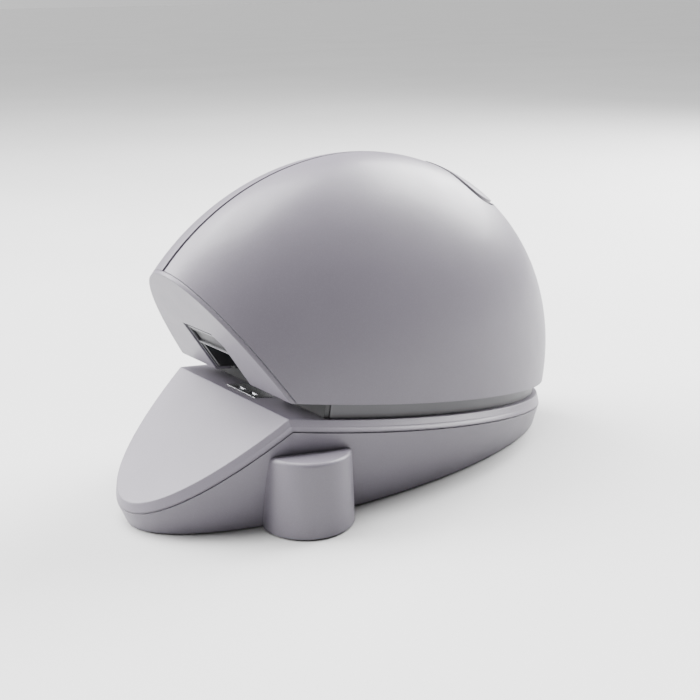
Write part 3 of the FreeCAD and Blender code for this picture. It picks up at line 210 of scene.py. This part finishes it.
ALONG_Y = (1.0, 0.04, 1.0)
SILVER = (0.128, 0.117, 0.141)
FINISHES = {
    "silver_plastic": moulded_plastic("silver plastic", SILVER, 0.42, flake=0.45, coat=0.05),
    "grey_plastic": moulded_plastic("grey plastic", (0.075, 0.073, 0.08), 0.46, flake=0.2),
    "dark_plastic": moulded_plastic("dark plastic", (0.018, 0.018, 0.02), 0.45, grain=0.008 * MM),
    "black_rubber": rubber("black rubber", (0.02, 0.02, 0.02)),
    "zinc_screw": metal("zinc screw", (0.62, 0.63, 0.66), 0.3),
    "polished_steel": metal("polished steel", (0.46, 0.46, 0.48), 0.3),
    # Very dark steel: its near-black tone is painted shade, standing in for the dark inside of the throat on
    # the parts in this slot.
    "black_steel": metal("blackened steel", (0.035, 0.035, 0.038), 0.42, brushed=ALONG_Y),
    "nose_trim": metal("satin trim", (0.2, 0.2, 0.21), 0.38, brushed=(0.04, 1.0, 1.0)),
    "sheet_steel": metal("sheet steel", (0.58, 0.59, 0.61), 0.36, brushed=ALONG_Y, spots=0.5),
    "spring_steel": metal("spring steel", (0.42, 0.42, 0.44), 0.3),
    "staple_wire": metal("staple wire", (0.7, 0.7, 0.72), 0.28),
    "white_nylon": moulded_plastic("white nylon", (0.74, 0.73, 0.68), 0.5, rounding=0.15 * MM),
    "red_nylon": moulded_plastic("black nylon", (0.03, 0.03, 0.032), 0.42, rounding=0.15 * MM),
    "brass": metal("brass", (0.78, 0.55, 0.22), 0.26),
    "copper": copper_winding("copper winding"),
    "board_green": circuit_laminate("circuit laminate"),
    "board_parts": moulded_plastic("component bodies", (0.035, 0.035, 0.04), 0.38, rounding=0.2 * MM),
}
SOFT_EDGED = {
    "front_bezel": moulded_plastic(
        "silver bezel plastic", SILVER, 0.42, flake=0.45, rounding=0.9 * MM, coat=0.05),
    "deck_cover": moulded_plastic(
        "silver deck plastic", SILVER, 0.44, flake=0.45, rounding=0.7 * MM),
}
for entry in frame["record"]["subparts"]:
    mesh = frame["nodes"][entry["node"]].data
    mesh.materials.clear()
    mesh.materials.append(SOFT_EDGED.get(entry["node"], FINISHES[entry["material_slot"]]))


# ---------------------------------------------------------------- floor, light and camera

def toward(azimuth, elevation):
    """Unit vector from the stapler to a view given in radians; azimuth 0 looks along +Y."""
    return Vector((math.sin(azimuth) * math.cos(elevation), -math.cos(azimuth) * math.cos(elevation),
                   math.sin(elevation)))


def plain_floor():
    size = 80.0
    bpy.ops.mesh.primitive_plane_add(size=size, location=(0, 0, 0))
    floor = bpy.context.object
    floor.name = "floor"
    shader = Shader("white table")
    tone = shader.ramp(shader.noise(0.25, detail=3.0), (0.3, (0.45, 0.45, 0.45)), (0.7, (0.48, 0.48, 0.48)))
    shader.link(tone, "Base Color")
    shader.set(Roughness=0.7)
    floor.data.materials.append(shader.material)


def soft_light(name, direction, distance, side, power):
    """A square area light that looks at the stapler from a direction (azimuth, elevation) in degrees."""
    azimuth, elevation = (math.radians(angle) for angle in direction)
    back = toward(azimuth, elevation)
    data = bpy.data.lights.new(name, "AREA")
    data.shape = "SQUARE"
    data.size = side
    data.energy = power
    lamp = bpy.data.objects.new(name, data)
    scene.collection.objects.link(lamp)
    middle = (cad_box[0] + cad_box[1]) / 2
    lamp.location = middle + back * distance
    lamp.rotation_mode = "QUATERNION"
    lamp.rotation_quaternion = (-back).to_track_quat("-Z", "Y")


def soft_sun(direction, angle, strength):
    """A large far light, whose shadows have no hard edge."""
    azimuth, elevation = (math.radians(value) for value in direction)
    back = toward(azimuth, elevation)
    data = bpy.data.lights.new("sun", "SUN")
    data.angle = math.radians(angle)
    data.energy = strength
    lamp = bpy.data.objects.new("sun", data)
    scene.collection.objects.link(lamp)
    lamp.rotation_mode = "QUATERNION"
    lamp.rotation_quaternion = (-back).to_track_quat("-Z", "Y")


def studio_light():
    """A light tent: bright above and in front, dark beside the flank, hazy where the floor ends."""
    world = bpy.data.worlds.new("studio")
    scene.world = world
    world.use_nodes = True
    tree = world.node_tree
    direction = tree.nodes.new("ShaderNodeTexCoord").outputs["Generated"]
    facing = tree.nodes.new("ShaderNodeVectorMath")
    facing.operation = "DOT_PRODUCT"
    facing.inputs[1].default_value = (-0.42, -0.66, 0.62)
    tree.links.new(direction, facing.inputs[0])
    spread = tree.nodes.new("ShaderNodeMapRange")
    spread.interpolation_type = "SMOOTHSTEP"
    for socket, value in (("From Min", -0.35), ("From Max", 0.8), ("To Min", 0.01), ("To Max", 0.6)):
        spread.inputs[socket].default_value = value
    tree.links.new(facing.outputs["Value"], spread.inputs["Value"])
    height = tree.nodes.new("ShaderNodeSeparateXYZ")
    tree.links.new(direction, height.inputs["Vector"])
    haze = tree.nodes.new("ShaderNodeMapRange")
    for socket, value in (("From Min", 0.0), ("From Max", 0.12), ("To Min", 0.6), ("To Max", 0.0)):
        haze.inputs[socket].default_value = value
    tree.links.new(height.outputs["Z"], haze.inputs["Value"])
    total = tree.nodes.new("ShaderNodeMath")
    tree.links.new(spread.outputs["Result"], total.inputs[0])
    tree.links.new(haze.outputs["Result"], total.inputs[1])
    tree.links.new(total.outputs["Value"], tree.nodes["Background"].inputs["Strength"])
    tree.nodes["Background"].inputs["Color"].default_value = (1.0, 1.0, 1.0, 1.0)
    soft_sun((-62, 44), 40, 5.2)
    soft_light("front fill", (-35, 26), 0.9, 0.45, 16.0)
    soft_light("overhead", (-60, 76), 1.1, 0.8, 38.0)
    soft_light("rim", (184, 34), 1.0, 0.7, 50.0)


def photo_camera():
    """The photograph's view: its direction, roll, distance and focal length."""
    azimuth, elevation, roll = (math.radians(angle) for angle in (53.493, 17.186, -1.136))
    distance, focal_length = 0.38884, 58.6
    target = Vector((0.0, 0.000595, 0.04008))
    back = toward(azimuth, elevation)
    right = Vector((math.cos(azimuth), math.sin(azimuth), 0.0))
    up = back.cross(right)
    turned_right = right * math.cos(roll) + up * math.sin(roll)
    turned_up = up * math.cos(roll) - right * math.sin(roll)
    data = bpy.data.cameras.new("camera")
    data.lens = focal_length
    data.sensor_width = 36.0
    data.clip_start, data.clip_end = 0.01, 200.0
    camera = bpy.data.objects.new("camera", data)
    scene.collection.objects.link(camera)
    camera.matrix_world = Matrix.Translation(target + back * distance) @ Matrix(
        (turned_right, turned_up, back)).transposed().to_4x4()
    scene.camera = camera


plain_floor()
studio_light()
photo_camera()
